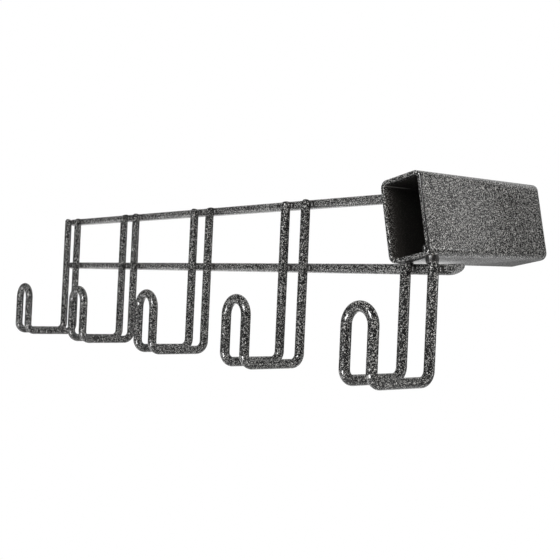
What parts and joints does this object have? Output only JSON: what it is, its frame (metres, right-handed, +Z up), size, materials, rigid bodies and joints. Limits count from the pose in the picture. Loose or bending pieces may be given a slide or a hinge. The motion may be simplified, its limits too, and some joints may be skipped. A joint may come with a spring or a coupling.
{
  "type": "wire hook rack",
  "caption": "Welded wire rack with a row of twin-wire hooks on two rails, carried at one end by a rectangular socket tube; holds cues, sticks or tools.",
  "frame": {"origin": "centre of the socket tube's front mouth", "axes": "+X along the rails towards the tube, +Y away from the hooks along the tube, +Z up"},
  "size_m": [0.6226, 0.2004, 0.1609],
  "materials": {
    "powder_coat": "glossy silver-vein powder coat on steel"
  },
  "bodies": {
    "root": {"hook_1": "powder_coat", "hook_2": "powder_coat", "hook_3": "powder_coat", "hook_4": "powder_coat", "hook_5": "powder_coat", "upper_rail": "powder_coat", "lower_rail": "powder_coat", "socket_tube": "powder_coat", "hook_1_welds": "powder_coat", "hook_2_welds": "powder_coat", "hook_3_welds": "powder_coat", "hook_4_welds": "powder_coat", "hook_5_welds": "powder_coat", "tube_welds": "powder_coat"}
  },
  "joints": []
}
